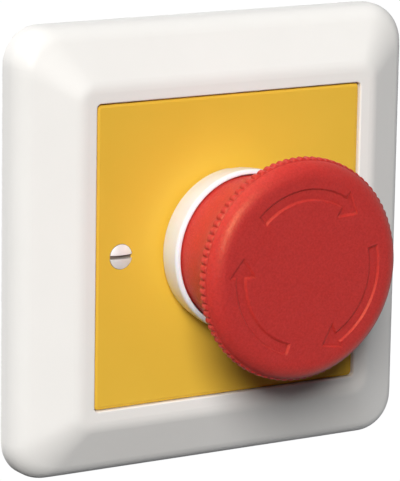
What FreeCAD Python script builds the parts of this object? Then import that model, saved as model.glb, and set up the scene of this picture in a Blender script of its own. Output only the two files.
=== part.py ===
import FreeCAD, Part
import math
import os

# Emergency stop switch for a flush wall box, in millimetres.
# Everything is drawn lying on its back: x to the right, y up the wall, z out of the wall,
# with z = 0 on the wall. stand_up() turns it so that the front faces -Y and +Z is up.

# Cover frame
FRAME_HALF = 40.6
FRAME_CORNER = 6.8
FRAME_WALL = 1.8
FRAME_SIDE_ROUND = 5.0
FRAME_HEIGHT = 10.5
SLOPE_DEG = 28.7
SLOPE_RUN = 10.1
CREST_HALF = FRAME_HALF - SLOPE_RUN
CREST_CORNER = 3.0
CREST_ROUND = 4.2
CREST_LAND = 3.0
OPENING_HALF = CREST_HALF - CREST_LAND
OPENING_CORNER = 0.8
OPENING_ROUND = 0.3
RETURN_WALL = 1.6
RETURN_LOW = 4.6
LEDGE_REACH = 2.4
LEDGE_HALF = OPENING_HALF - LEDGE_REACH
LEDGE_THICK = 1.6
RIB_THICK = 1.2
RIB_OFFSET = 15.0
RIB_BITE = 0.4

# Yellow centre plate
PLATE_GAP = 0.2
PLATE_SINK = 0.5
PLATE_FRONT = FRAME_HEIGHT - PLATE_SINK
PLATE_THICK = 3.0
PLATE_SKIN = 2.2
PLATE_BEVEL_WIDE = 0.6
PLATE_BEVEL_DEEP = 0.2
PLATE_RIM = 1.5
PLATE_BACK = PLATE_FRONT - PLATE_THICK
SKIN_BACK = PLATE_FRONT - PLATE_SKIN
SKIRT_THICK = 1.4
SKIRT_DEEP = 3.0
SKIRT_LOW = SKIN_BACK - SKIRT_DEEP
PAD_RADIUS = 17.0
SEAT_CLEAR = 0.15

# Plate screws, raised countersunk heads with one slot, each in a pillar inside the skirt
PILLAR_RADIUS = 2.6
PILLAR_EDGE = 0.1
PILLAR_LOW = 3.4
SCREW_X = LEDGE_HALF - SEAT_CLEAR - PILLAR_EDGE - PILLAR_RADIUS
SCREW_HEAD_R = 2.3
SCREW_SHANK_R = 1.2
SCREW_SINK = 1.1
SCREW_DOME = 0.55
SCREW_SLOT = 0.7
SCREW_SLOT_DEEP = 0.75
SCREW_LOW = 0.3
THREAD_CLEAR = 0.05

# Support ring, screwed to the wall box
RING_ROOM = 3.3
RING_HALF = FRAME_HALF - FRAME_WALL - RING_ROOM
RING_CORNER = 4.0
RING_THICK = 1.2
RING_LAND = 1.3
RING_OPEN_HALF = SCREW_X - PILLAR_RADIUS - RING_LAND
RING_OPEN_TALL = 46.0
RING_OPEN_CORNER = 8.0
BOX_SCREW_INSET = 5.5
BOX_SCREW_HALF = RING_HALF - BOX_SCREW_INSET
BOX_SCREW_HOLE_R = 2.1
CORNER_HOLE_INSET = 6.0
CORNER_HOLE_OFFSET = RING_HALF - CORNER_HOLE_INSET
CORNER_HOLE_R = 1.9

# Travel, the room left beyond it, and the room between parts that pass or meet inside
PRESS_TRAVEL = 4.0
PRESS_SPARE = 0.4
SMALL_GAP = 0.1
RUN_CLEAR = 0.05

# Barrel of the mounting sleeve with its key, and the plate hole that takes it
SLEEVE_RADIUS = 11.0
SLEEVE_WALL = 1.7
SLEEVE_BORE_R = SLEEVE_RADIUS - SLEEVE_WALL
SLEEVE_LOW = -9.0
SLEEVE_END_THICK = 1.5
HOLE_CLEAR = 0.2
KEY_WIDE = 3.0
KEY_REACH = 1.0

# Gasket and white collar, each outside the one before: key, gasket, waist, mouth
KEY_ROOM = 0.2
GASKET_THICK = 0.4
GASKET_WIDE = 1.3
GASKET_IN_R = SLEEVE_RADIUS + KEY_REACH + KEY_ROOM
GASKET_OUT_R = GASKET_IN_R + GASKET_WIDE
COLLAR_EDGE = 0.75
COLLAR_FOOT_BEVEL = 0.7
COLLAR_WAIST_R = GASKET_OUT_R + COLLAR_EDGE
COLLAR_WAIST_WALL = 0.4
COLLAR_BORE_R = COLLAR_WAIST_R - COLLAR_WAIST_WALL
COLLAR_LEAD_IN = 0.1
COLLAR_LEAD_DEEP = 0.4
COLLAR_MOUTH_IN_R = COLLAR_BORE_R + COLLAR_LEAD_IN
COLLAR_LIP_WALL = 0.8
COLLAR_LIP_ROUND = 0.65
COLLAR_MOUTH_OUT_R = COLLAR_MOUTH_IN_R + COLLAR_LIP_WALL
COLLAR_BULGE = 0.1
COLLAR_RISE = 6.5
COLLAR_MOUTH = PLATE_FRONT + COLLAR_RISE
COLLAR_WEB = 1.0
COLLAR_NOTCH_WIDE = 2.4
COLLAR_NOTCH_DEEP = 0.25
COLLAR_NOTCH_TALL = 2.0
WEB_LOW = PLATE_FRONT + GASKET_THICK
WEB_HIGH = WEB_LOW + COLLAR_WEB

# Mushroom head: heights go down from its face, radii in from its teeth
HEAD_RISE = 26.35
FACE_TOP = PLATE_FRONT + HEAD_RISE
FACE_DOME_R = 400.0
TEETH = 90
TOOTH_CREST_R = 19.75
TOOTH_DEEP = 0.38
TOOTH_ROOT_R = TOOTH_CREST_R - TOOTH_DEEP
TOOTH_SIDE_RISE = 0.75
TOOTH_REAR = 0.3
TOOTH_FRONT = 0.6
TOOTH_END_RISE = 0.05
BAND_DROP = 2.7
BAND_TALL = 1.75
BAND_HIGH = FACE_TOP - BAND_DROP
BAND_LOW = BAND_HIGH - BAND_TALL
SHOULDER_RUN = 3.15
SHOULDER_SLACK = 0.05
SHOULDER_START_R = TOOTH_ROOT_R - SHOULDER_RUN
SHOULDER_ROUND = SHOULDER_RUN + SHOULDER_SLACK
LIP_INSET = 0.95
LIP_DROP = 0.9
UNDER_LIP_R = TOOTH_ROOT_R - LIP_INSET
UNDER_LIP_Z = BAND_LOW - LIP_DROP
NECK_CLEAR = 0.2
NECK_RADIUS = COLLAR_BORE_R - NECK_CLEAR
NECK_WALL = 1.1
NECK_LOW = WEB_HIGH + PRESS_TRAVEL + PRESS_SPARE
NECK_STRAIGHT_Z = COLLAR_MOUTH + PRESS_TRAVEL + PRESS_SPARE
HEAD_WALL = 2.1
BOSS_RADIUS = 5.6
BOSS_LONG = 17.35
BOSS_LOW = FACE_TOP - BOSS_LONG

# Engraved turning arrows
ARROWS = 3
ARROW_INSET = 2.48
ARROW_MID_R = SHOULDER_START_R - ARROW_INSET
ARROW_SHAFT_HALF = 1.07
ARROW_BARB_OUT = 2.43
ARROW_BARB_IN = 2.97
ARROW_TAIL_DEG = 134.3
ARROW_SHAFT_SWEEP = 75.5
ARROW_POINT_SWEEP = 15.7
ARROW_DEEP = 0.6
ARROW_DRAFT = 0.28
ARROW_FLARE = 0.18
ARROW_BARB_GAIN = 1.84
ARROW_POINT_GAIN = 2.7
ARROW_FLOOR = FACE_TOP - ARROW_DEEP

# Flange and cup of the sleeve, inside the head's neck
FLANGE_ROOM = 0.4
FLANGE_RADIUS = NECK_RADIUS - NECK_WALL - FLANGE_ROOM
FLANGE_THICK = 1.0
FLANGE_HIGH = WEB_HIGH + FLANGE_THICK
CUP_ROOM = 1.0
CUP_WALL = 1.0
CUP_INNER_R = SLEEVE_BORE_R + CUP_ROOM
CUP_OUTER_R = CUP_INNER_R + CUP_WALL
CUP_TALL = 1.5
CUP_LIP = 0.4
CUP_LIP_THICK = 0.5

# Ring nut
NUT_WALL = 2.5
NUT_THICK = 4.4

# Plunger inside the head
PIN_RADIUS = 4.0
PIN_SHORT = 3.35
PIN_TOP = FACE_TOP - PIN_SHORT
SNAP_RISE = 0.35
SNAP_TALL = 1.0
SNAP_DOWN = 3.0
SNAP_Z = PIN_TOP - SNAP_DOWN
TURN_GAP = 0.3
SHOULDER_STEP = 0.7
SHOULDER_R = SLEEVE_BORE_R - SHOULDER_STEP
SHOULDER_TOP = BOSS_LOW - TURN_GAP
PISTON_DOWN = 0.4
PISTON_LONG = 8.0
PISTON_TOP = FLANGE_HIGH - PISTON_DOWN
PISTON_LOW = PISTON_TOP - PISTON_LONG
RIDGE_STEP = 0.4
RIDGE_R = SLEEVE_BORE_R - RIDGE_STEP
RIDGE_UP = 3.0
RIDGE_Z = PISTON_TOP + RIDGE_UP
ROD_RADIUS = 4.8
ROD_STEP = 1.6
ROD_TIP_R = ROD_RADIUS - ROD_STEP

# Thrust bar and the clip that holds it on the rod
BAR_PAST = 2.0
BAR_TALL = 7.0
BAR_THICK = 2.5
BAR_HIGH = SLEEVE_LOW - SMALL_GAP
BAR_LOW = BAR_HIGH - BAR_THICK
BAR_CORNER = 1.0
BAR_BOSS_WALL = 1.1
BAR_BOSS_R = ROD_RADIUS + BAR_BOSS_WALL
CLIP_WIDE = 1.4
CLIP_RADIUS = ROD_TIP_R + CLIP_WIDE
CLIP_THICK = 0.8
CLIP_GROOVE = 0.6
CLIP_MOUTH = 3.6
ROD_PAST = 1.4
ROD_LOW = BAR_LOW - ROD_PAST

# Springs, wound from flat-sided wire
COIL_ROOM = 2.4
RETURN_COIL_R = ROD_RADIUS + COIL_ROOM
RETURN_WIRE = 1.1
RETURN_TURNS = 4.0
TWIST_ROOM = 1.6
TWIST_COIL_R = BOSS_RADIUS + TWIST_ROOM
TWIST_WIRE = 0.9
TWIST_TURNS = 4.0
TWIST_SHORT = 6.0
TWIST_TOP = PIN_TOP - TWIST_SHORT
LATCH_INSET = 0.7
LATCH_COIL_R = CUP_INNER_R - LATCH_INSET
LATCH_WIRE = 0.8
LATCH_MOUTH_DEG = 50.0
CONTACT_COIL_R = 2.1
CONTACT_WIRE = 0.5
CONTACT_TURNS = 5.0

# Contact blocks, one each side of the middle, hung on the adaptor's back
BLOCK_WIDE = 13.6
BLOCK_TALL = 36.0
BLOCK_DEEP = 22.0
BLOCK_WALL = 1.2
BLOCK_APART = 0.8
BLOCK_X = (BLOCK_WIDE + BLOCK_APART) / 2
PUSHER_RADIUS = 2.2
ADAPTOR_LOW = ROD_LOW - PRESS_TRAVEL - PRESS_SPARE
BLOCK_LOW = ADAPTOR_LOW - BLOCK_DEEP
END_CHAMBER = 7.6
CHAMBER_HALF = BLOCK_TALL / 2 - END_CHAMBER
PARTITION = 1.0
STRIP_DOWN = 4.6
STRIP_Z = ADAPTOR_LOW - STRIP_DOWN
STRIP_THICK = 0.8
STRIP_WIDE = 5.0
TERMINAL_INSET = 3.8
TERMINAL_Y = BLOCK_TALL / 2 - TERMINAL_INSET
TERMINAL_SCREW_R = 1.6
TERMINAL_HEAD_R = 2.6
TERMINAL_HEAD_TALL = 2.2
CLAMP_THICK = 1.0
WIRE_ROOM = 1.6
TIP_RADIUS = 1.6
TIP_TALL = 0.7
TIP_INSET = 2.8
TIP_Y = CHAMBER_HALF - TIP_INSET
TIP_EDGE = 0.2
TIP_GAP = 0.08
CARRIAGE_WIDE = 7.2
CARRIAGE_TALL = 6.4
CARRIAGE_DOWN = 2.6
CARRIAGE_DEEP = 6.6
CARRIAGE_HIGH = ADAPTOR_LOW - CARRIAGE_DOWN
CARRIAGE_LOW = CARRIAGE_HIGH - CARRIAGE_DEEP
BRIDGE_WIDE = 4.8
BRIDGE_THICK = 0.8
BRIDGE_HALF = TIP_Y + TIP_RADIUS + TIP_EDGE
BRIDGE_HIGH = STRIP_Z - STRIP_THICK / 2 - 2 * TIP_TALL - TIP_GAP
SPRING_PIN_R = 1.2
SPRING_PIN_LONG = 2.6

# Adaptor that carries the contact blocks on the sleeve
ADAPTOR_EDGE = 1.0
ADAPTOR_CORNER = 3.0
ADAPTOR_LAP = 6.0
ADAPTOR_HIGH = SLEEVE_LOW + ADAPTOR_LAP
GRIP_SHORT = 0.2
BAR_ROOM = 1.2
SET_SCREW_R = 1.4
SET_SCREW_SINK = 1.5
SET_SCREW_Z = SLEEVE_LOW + ADAPTOR_LAP / 2
ARM_WIDE = 6.0
ARM_THICK = 1.0
ARM_LONG = 4.2
HOOK_REACH = 0.7
HOOK_TALL = 1.2

UP = FreeCAD.Vector(0, 0, 1)
ORIGIN = FreeCAD.Vector(0, 0, 0)
OVER = 1.0  # how far a cutting shape runs past the face it cuts
LEVEL = 0.01  # two heights closer than this are the same height
SIDES = (-1, 1)


def disc(radius, low, high, x=0.0, y=0.0):
    """A round bar along z."""
    return Part.makeCylinder(radius, high - low, FreeCAD.Vector(x, y, low), UP)


def tube(outer, inner, low, high):
    """A round tube along z."""
    return disc(outer, low, high).cut(disc(inner, low - OVER, high + OVER))


def block(wide, tall, low, high, x=0.0, y=0.0):
    """A box centred on x and y between two heights."""
    corner = FreeCAD.Vector(x - wide / 2, y - tall / 2, low)
    return Part.makeBox(wide, tall, high - low, corner)


def rounded_outline(half_wide, half_tall, corner, z):
    """A closed rectangle with round corners at one height."""
    edges = []
    for quarter, (sx, sy) in enumerate(((1, 1), (-1, 1), (-1, -1), (1, -1))):
        centre = FreeCAD.Vector(sx * (half_wide - corner), sy * (half_tall - corner), z)
        start = 90.0 * quarter
        edges.append(Part.makeCircle(corner, centre, UP, start, start + 90.0))
    sides = []
    for index in range(4):
        here = edges[index].Vertexes[1].Point
        there = edges[(index + 1) % 4].Vertexes[0].Point
        sides.append(Part.makeLine(here, there))
    ordered = [edge for pair in zip(edges, sides) for edge in pair]
    return Part.Wire(ordered)


def rounded_block(half_wide, half_tall, corner, low, high):
    """A box with four round upright edges."""
    outline = rounded_outline(half_wide, half_tall, corner, low)
    return Part.Face(outline).extrude(FreeCAD.Vector(0, 0, high - low))


def square_ring(outer, inner, corner, low, high):
    """A square ring with straight walls."""
    body = rounded_block(outer, outer, corner + outer - inner, low, high)
    return body.cut(rounded_block(inner, inner, corner, low - OVER, high + OVER))


def turned(*edges):
    """A solid turned about z from a closed outline in the x, z plane."""
    face = Part.Face(Part.Wire(Part.sortEdges(list(edges))[0]))
    return face.revolve(ORIGIN, UP, 360)


def spot(radius, z):
    """A point of a turned outline."""
    return FreeCAD.Vector(radius, 0, z)


def path(*spots):
    """Straight edges from spot to spot."""
    return [Part.makeLine(a, b) for a, b in zip(spots, spots[1:])]


def arc_about(centre, start, end):
    """The shorter arc about a centre in the x, z plane."""
    middle = (start + end) * 0.5 - centre
    middle.normalize()
    radius = (start - centre).Length
    return Part.Arc(start, centre + middle * radius, end).toShape()


def edges_at(shape, z):
    """Edges that lie wholly at one height."""
    found = []
    for edge in shape.Edges:
        box = edge.BoundBox
        if abs(box.ZMin - z) < LEVEL and abs(box.ZMax - z) < LEVEL:
            found.append(edge)
    return found


def coil(radius, wire, turns, low, high, x=0.0, y=0.0):
    """A coil spring standing between two heights."""
    rise = high - low - wire
    helix = Part.makeHelix(rise / turns, rise, radius)
    half = wire / 2
    corners = [spot(radius + a * half, b * half) for a, b in ((-1, -1), (1, -1), (1, 1), (-1, 1))]
    section = Part.makePolygon(corners + corners[:1])
    body = Part.Wire(helix).makePipeShell([section], True, True)
    body.translate(FreeCAD.Vector(x, y, low + half))
    return body


def frame_form(inset, drop):
    """The frame's outside, or an inside set in and lowered: straight sides, then four slopes."""
    rise = math.tan(math.radians(SLOPE_DEG))
    half = FRAME_HALF - inset
    top = FRAME_HEIGHT - drop
    side_top = top - (half - CREST_HALF) * rise
    base = rounded_outline(half, half, FRAME_CORNER - inset, 0.0)
    edge = rounded_outline(half, half, FRAME_CORNER - inset, side_top)
    crest = rounded_outline(CREST_HALF, CREST_HALF, CREST_CORNER, top)
    sides = Part.makeLoft([base, edge], True, True)
    slopes = Part.makeLoft([edge, crest], True, True)
    return sides.fuse(slopes), side_top, top


def cover_frame():
    """Moulded frame: a hollow shell with a return wall and a ledge that the plate presses on."""
    outside, side_top, top = frame_form(0.0, 0.0)
    outside = outside.makeFillet(FRAME_SIDE_ROUND, edges_at(outside, side_top))
    outside = outside.makeFillet(CREST_ROUND, edges_at(outside, top))
    slant = FRAME_WALL / math.cos(math.radians(SLOPE_DEG))
    roof = FRAME_HEIGHT - FRAME_WALL
    hollow = frame_form(FRAME_WALL, slant)[0]
    hollow = hollow.cut(block(2 * FRAME_HALF, 2 * FRAME_HALF, roof, FRAME_HEIGHT))
    body = outside.cut(hollow)
    wall_half = OPENING_HALF + RETURN_WALL
    wall = square_ring(wall_half, LEDGE_HALF, OPENING_CORNER, RETURN_LOW, FRAME_HEIGHT - FRAME_WALL / 2)
    body = body.fuse(wall)
    for side in SIDES:
        for offset in (-RIB_OFFSET, RIB_OFFSET):
            middle = side * (wall_half + FRAME_HALF - FRAME_WALL) / 2
            length = FRAME_HALF - FRAME_WALL - wall_half + RIB_BITE
            across = block(length, RIB_THICK, RETURN_LOW, FRAME_HEIGHT, middle, offset)
            upright = block(RIB_THICK, length, RETURN_LOW, FRAME_HEIGHT, offset, middle)
            body = body.fuse(across.common(outside)).fuse(upright.common(outside))
    above = FRAME_HEIGHT + OVER
    ledge_low = PLATE_BACK - LEDGE_THICK
    body = body.cut(rounded_block(OPENING_HALF, OPENING_HALF, OPENING_CORNER, PLATE_BACK, above))
    body = body.cut(rounded_block(OPENING_HALF, OPENING_HALF, OPENING_CORNER, 0.0, ledge_low))
    body = body.cut(rounded_block(LEDGE_HALF, LEDGE_HALF, OPENING_CORNER, 0.0, above))
    brim = []
    for edge in edges_at(body, FRAME_HEIGHT):
        box = edge.BoundBox
        if max(-box.XMin, box.XMax, -box.YMin, box.YMax) < OPENING_HALF + LEVEL:
            brim.append(edge)
    return body.makeFillet(OPENING_ROUND, brim)


def centre_plate():
    """Yellow insert: bevelled skin, rim, skirt inside the frame's ledge, two screw pillars."""
    half = OPENING_HALF - PLATE_GAP
    bevel_low = PLATE_FRONT - PLATE_BEVEL_DEEP
    body = rounded_block(half, half, OPENING_CORNER, SKIN_BACK, bevel_low)
    outer = rounded_outline(half, half, OPENING_CORNER, bevel_low)
    flat_half = half - PLATE_BEVEL_WIDE
    inner = rounded_outline(flat_half, flat_half, OPENING_CORNER / 2, PLATE_FRONT)
    body = body.fuse(Part.makeLoft([outer, inner], True, True))
    body = body.fuse(square_ring(half, half - PLATE_RIM, OPENING_CORNER, PLATE_BACK, SKIN_BACK))
    skirt = LEDGE_HALF - SEAT_CLEAR
    body = body.fuse(square_ring(skirt, skirt - SKIRT_THICK, OPENING_CORNER, SKIRT_LOW, SKIN_BACK))
    body = body.fuse(disc(PAD_RADIUS, PLATE_BACK, SKIN_BACK))
    for side in SIDES:
        body = body.fuse(disc(PILLAR_RADIUS, PILLAR_LOW, SKIN_BACK, side * SCREW_X))
    for side in SIDES:
        shank = disc(SCREW_SHANK_R + 2 * THREAD_CLEAR, 0.0, PLATE_FRONT + OVER, side * SCREW_X)
        sink = Part.makeCone(SCREW_SHANK_R, SCREW_HEAD_R, SCREW_SINK)
        sink = sink.fuse(disc(SCREW_HEAD_R + THREAD_CLEAR, SCREW_SINK, SCREW_SINK + OVER))
        sink.translate(FreeCAD.Vector(side * SCREW_X, 0, PLATE_FRONT - SCREW_SINK))
        body = body.cut(shank).cut(sink)
    body = body.cut(keyed_hole(PLATE_BACK, PLATE_FRONT))
    return body.removeSplitter()


def keyed_hole(low, high):
    """The hole for the sleeve, with its notch at twelve o'clock."""
    hole_r = SLEEVE_RADIUS + HOLE_CLEAR
    notch_top = SLEEVE_RADIUS + KEY_REACH + SEAT_CLEAR
    notch = block(KEY_WIDE + 2 * SEAT_CLEAR, notch_top, low - OVER, high + OVER, 0.0, notch_top / 2)
    return disc(hole_r, low - OVER, high + OVER).fuse(notch)


def plate_screw(side):
    """Raised countersunk screw with a slot across its head."""
    cone_low = PLATE_FRONT - SCREW_SINK
    dome_r = (SCREW_HEAD_R ** 2 + SCREW_DOME ** 2) / (2 * SCREW_DOME)
    centre = spot(0, PLATE_FRONT + SCREW_DOME - dome_r)
    top = spot(0, PLATE_FRONT + SCREW_DOME)
    rim = spot(SCREW_HEAD_R, PLATE_FRONT)
    dome = arc_about(centre, top, rim)
    rest = path(
        rim,
        spot(SCREW_SHANK_R, cone_low),
        spot(SCREW_SHANK_R, SCREW_LOW),
        spot(0, SCREW_LOW),
        top,
    )
    body = turned(dome, *rest)
    slot_low = PLATE_FRONT + SCREW_DOME - SCREW_SLOT_DEEP
    body = body.cut(block(3 * SCREW_HEAD_R, SCREW_SLOT, slot_low, PLATE_FRONT + OVER))
    body.translate(FreeCAD.Vector(side * SCREW_X, 0, 0))
    return body


def support_ring():
    """Pressed steel ring with a large opening, bosses for the plate screws and fixing holes."""
    body = rounded_block(RING_HALF, RING_HALF, RING_CORNER, 0.0, RING_THICK)
    high = RING_THICK + OVER
    body = body.cut(rounded_block(RING_OPEN_HALF, RING_OPEN_TALL / 2, RING_OPEN_CORNER, -OVER, high))
    for side in SIDES:
        body = body.fuse(disc(PILLAR_RADIUS, 0.0, PILLAR_LOW, side * SCREW_X))
        body = body.cut(disc(SCREW_SHANK_R + THREAD_CLEAR, -OVER, PILLAR_LOW + OVER, side * SCREW_X))
        body = body.cut(disc(BOX_SCREW_HOLE_R, -OVER, high, side * BOX_SCREW_HALF))
        for end in SIDES:
            x = side * CORNER_HOLE_OFFSET
            y = end * CORNER_HOLE_OFFSET
            body = body.cut(disc(CORNER_HOLE_R, -OVER, high, x, y))
    return body.removeSplitter()


def gasket():
    """Flat rubber ring between the collar and the plate."""
    return tube(GASKET_OUT_R, GASKET_IN_R, PLATE_FRONT, WEB_LOW)


def collar():
    """White collar: a flared skirt with a round lip and a bevelled foot, marked by a notch."""
    mouth = COLLAR_MOUTH
    foot = spot(COLLAR_WAIST_R - COLLAR_FOOT_BEVEL, WEB_LOW)
    base = spot(COLLAR_WAIST_R, WEB_LOW + COLLAR_FOOT_BEVEL)
    flare_top = spot(COLLAR_MOUTH_OUT_R, mouth - COLLAR_LIP_ROUND)
    bulge = (base + flare_top) * 0.5 + spot(COLLAR_BULGE, 0)
    flare = Part.Arc(base, bulge, flare_top).toShape()
    lip_in = spot(COLLAR_MOUTH_OUT_R - COLLAR_LIP_ROUND, mouth)
    lip = arc_about(spot(lip_in.x, flare_top.z), flare_top, lip_in)
    rest = path(
        lip_in,
        spot(COLLAR_MOUTH_IN_R, mouth),
        spot(COLLAR_BORE_R, mouth - COLLAR_LEAD_DEEP),
        spot(COLLAR_BORE_R, WEB_HIGH),
        spot(SLEEVE_RADIUS, WEB_HIGH),
        spot(SLEEVE_RADIUS, WEB_LOW),
        foot,
        base,
    )
    body = turned(flare, lip, *rest)
    body = body.cut(keyed_hole(WEB_LOW, WEB_HIGH))
    notch_mid = COLLAR_WAIST_R - COLLAR_NOTCH_DEEP + OVER
    notch = block(COLLAR_NOTCH_WIDE, 2 * OVER, PLATE_FRONT, WEB_LOW + COLLAR_NOTCH_TALL, 0.0, notch_mid)
    return body.cut(notch)


def sleeve():
    """Mounting sleeve: flange on the collar's web, cup for the latch wire, keyed barrel."""
    body = tube(FLANGE_RADIUS, SLEEVE_BORE_R, WEB_HIGH, FLANGE_HIGH)
    cup_high = FLANGE_HIGH + CUP_TALL
    body = body.fuse(tube(CUP_OUTER_R, CUP_INNER_R, FLANGE_HIGH, cup_high))
    lip_r = CUP_INNER_R - CUP_LIP
    body = body.fuse(tube(CUP_OUTER_R, lip_r, cup_high - CUP_LIP_THICK, cup_high))
    body = body.fuse(disc(SLEEVE_RADIUS, SLEEVE_LOW, WEB_HIGH))
    key_low = PLATE_BACK + SEAT_CLEAR
    key_mid = SLEEVE_RADIUS + (KEY_REACH - OVER) / 2
    body = body.fuse(block(KEY_WIDE, KEY_REACH + OVER, key_low, WEB_HIGH, 0.0, key_mid))
    body = body.cut(disc(SLEEVE_BORE_R, SLEEVE_LOW + SLEEVE_END_THICK, FLANGE_HIGH))
    body = body.cut(disc(ROD_RADIUS + RUN_CLEAR, SLEEVE_LOW - OVER, 0.0))
    return body.removeSplitter()


def hexagon(across_flats, low, high):
    """A hexagonal bar with its flats up and down."""
    radius = across_flats / math.sqrt(3)
    corners = []
    for index in range(7):
        angle = math.radians(60 * index)
        corners.append(FreeCAD.Vector(radius * math.cos(angle), radius * math.sin(angle), low))
    return Part.Face(Part.makePolygon(corners)).extrude(FreeCAD.Vector(0, 0, high - low))


def ring_nut():
    """Nut that pulls the sleeve and collar onto the plate from behind."""
    body = hexagon(2 * (SLEEVE_RADIUS + NUT_WALL), PLATE_BACK - NUT_THICK, PLATE_BACK)
    return body.cut(disc(SLEEVE_RADIUS + THREAD_CLEAR, 0.0, PLATE_FRONT))


def polar(radius, degrees, z):
    """A point at a radius and an angle round the head."""
    angle = math.radians(degrees)
    return FreeCAD.Vector(radius * math.cos(angle), radius * math.sin(angle), z)


def star_outline(share, z):
    """The outline round the rim at one height: round teeth with a narrow valley between each pair."""
    pitch = 360.0 / TEETH
    side_r = TOOTH_ROOT_R + TOOTH_DEEP * TOOTH_SIDE_RISE * share
    crest_r = TOOTH_ROOT_R + TOOTH_DEEP * share
    corners = []
    for index in range(TEETH):
        valley = pitch * index
        corners.append(polar(TOOTH_ROOT_R, valley, z))
        corners.append(polar(side_r, valley + pitch / 5, z))
        corners.append(polar(crest_r, valley + pitch * 2 / 5, z))
        corners.append(polar(crest_r, valley + pitch * 3 / 5, z))
        corners.append(polar(side_r, valley + pitch * 4 / 5, z))
    return Part.makePolygon(corners + corners[:1])


def tooth_band():
    """The round grip teeth on the head's rim, running out in front and behind."""
    sections = [
        star_outline(TOOTH_END_RISE, BAND_LOW),
        star_outline(1.0, BAND_LOW + TOOTH_REAR),
        star_outline(1.0, BAND_HIGH - TOOTH_FRONT),
        star_outline(TOOTH_SIDE_RISE, BAND_HIGH - TOOTH_FRONT / 3),
        star_outline(TOOTH_END_RISE, BAND_HIGH),
    ]
    return Part.makeLoft(sections, True, True)


def face_height(radius):
    """Height of the slightly domed front face."""
    return FACE_TOP - radius ** 2 / (2 * FACE_DOME_R)


def head_outside():
    """Turned outside of the head: domed face, round shoulder, rim, hollow-curved neck."""
    face_edge = spot(SHOULDER_START_R, face_height(SHOULDER_START_R))
    half_way = SHOULDER_START_R / 2
    face = Part.Arc(spot(0, FACE_TOP), spot(half_way, face_height(half_way)), face_edge).toShape()
    shoulder_centre = face_edge - spot(0, SHOULDER_ROUND)
    drop = math.sqrt(SHOULDER_ROUND ** 2 - (TOOTH_ROOT_R - SHOULDER_START_R) ** 2)
    rim_top = spot(TOOTH_ROOT_R, shoulder_centre.z + drop)
    shoulder = arc_about(shoulder_centre, face_edge, rim_top)
    neck_top = spot(NECK_RADIUS, NECK_STRAIGHT_Z)
    under_lip = spot(UNDER_LIP_R, UNDER_LIP_Z)
    flare = arc_about(neck_centre(), neck_top, under_lip)
    sides = path(rim_top, spot(TOOTH_ROOT_R, BAND_LOW), under_lip)
    base = path(neck_top, spot(NECK_RADIUS, NECK_LOW), spot(0, NECK_LOW), spot(0, FACE_TOP))
    return turned(face, shoulder, flare, *sides, *base)


def neck_centre():
    """Centre of the neck's hollow curve, which runs straight into the neck's cylinder."""
    out = UNDER_LIP_R - NECK_RADIUS
    rise = UNDER_LIP_Z - NECK_STRAIGHT_Z
    radius = (out ** 2 + rise ** 2) / (2 * out)
    return spot(NECK_RADIUS + radius, NECK_STRAIGHT_Z)


def head_hollow():
    """Turned hollow of the head, leaving the boss that turns on the plunger's pin."""
    centre = neck_centre()
    radius = centre.x - NECK_RADIUS + NECK_WALL
    rise = UNDER_LIP_Z - NECK_STRAIGHT_Z
    neck_in = spot(NECK_RADIUS - NECK_WALL, NECK_STRAIGHT_Z)
    rim_in = spot(centre.x - math.sqrt(radius ** 2 - rise ** 2), UNDER_LIP_Z)
    roof = face_height(SHOULDER_START_R) - HEAD_WALL
    flare = arc_about(centre, neck_in, rim_in)
    rest = path(
        rim_in,
        spot(SHOULDER_START_R, roof),
        spot(BOSS_RADIUS, roof),
        spot(BOSS_RADIUS, BOSS_LOW),
        spot(0, BOSS_LOW),
        spot(0, NECK_LOW - OVER),
        spot(NECK_RADIUS - NECK_WALL, NECK_LOW - OVER),
        neck_in,
    )
    return turned(flare, *rest)


def arrow_outline(grow, z):
    """Outline of one curved arrow at one height, grown all round; its point is turned clockwise."""
    low = ARROW_MID_R - ARROW_SHAFT_HALF - grow
    high = ARROW_MID_R + ARROW_SHAFT_HALF + grow
    spread = math.degrees(grow / ARROW_MID_R)
    tail = ARROW_TAIL_DEG + spread
    base = ARROW_TAIL_DEG - ARROW_SHAFT_SWEEP + spread
    middle = (tail + base) / 2
    outer = Part.Arc(polar(high, tail, z), polar(high, middle, z), polar(high, base, z)).toShape()
    inner = Part.Arc(polar(low, base, z), polar(low, middle, z), polar(low, tail, z)).toShape()
    point = path(
        polar(high, base, z),
        polar(ARROW_MID_R + ARROW_BARB_OUT + ARROW_BARB_GAIN * grow, base, z),
        polar(ARROW_MID_R, base - ARROW_POINT_SWEEP - ARROW_POINT_GAIN * spread, z),
        polar(ARROW_MID_R - ARROW_BARB_IN - ARROW_BARB_GAIN * grow, base, z),
        polar(low, base, z),
    )
    tail_end = Part.makeLine(polar(low, tail, z), polar(high, tail, z))
    return Part.Wire([outer] + point + [inner, tail_end])


def arrow_cutter():
    """One curved arrow standing on the engraving's floor, its walls sloping out to the face."""
    sections = [arrow_outline(-ARROW_DRAFT, ARROW_FLOOR), arrow_outline(ARROW_FLARE, FACE_TOP)]
    return Part.makeLoft(sections, True, True)


def mushroom_head():
    """Red head with its neck in one moulding, toothed rim and three engraved arrows."""
    body = head_outside().fuse(tooth_band()).cut(head_hollow())
    body = body.cut(disc(PIN_RADIUS + RUN_CLEAR, BOSS_LOW - OVER, PIN_TOP + 2 * SMALL_GAP))
    snap_r = PIN_RADIUS + SNAP_RISE + SMALL_GAP
    body = body.cut(disc(snap_r, SNAP_Z - SMALL_GAP, SNAP_Z + SNAP_TALL + SMALL_GAP))
    for index in range(ARROWS):
        cutter = arrow_cutter()
        cutter.rotate(ORIGIN, UP, -360.0 / ARROWS * index)
        body = body.cut(cutter)
    return body


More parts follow.
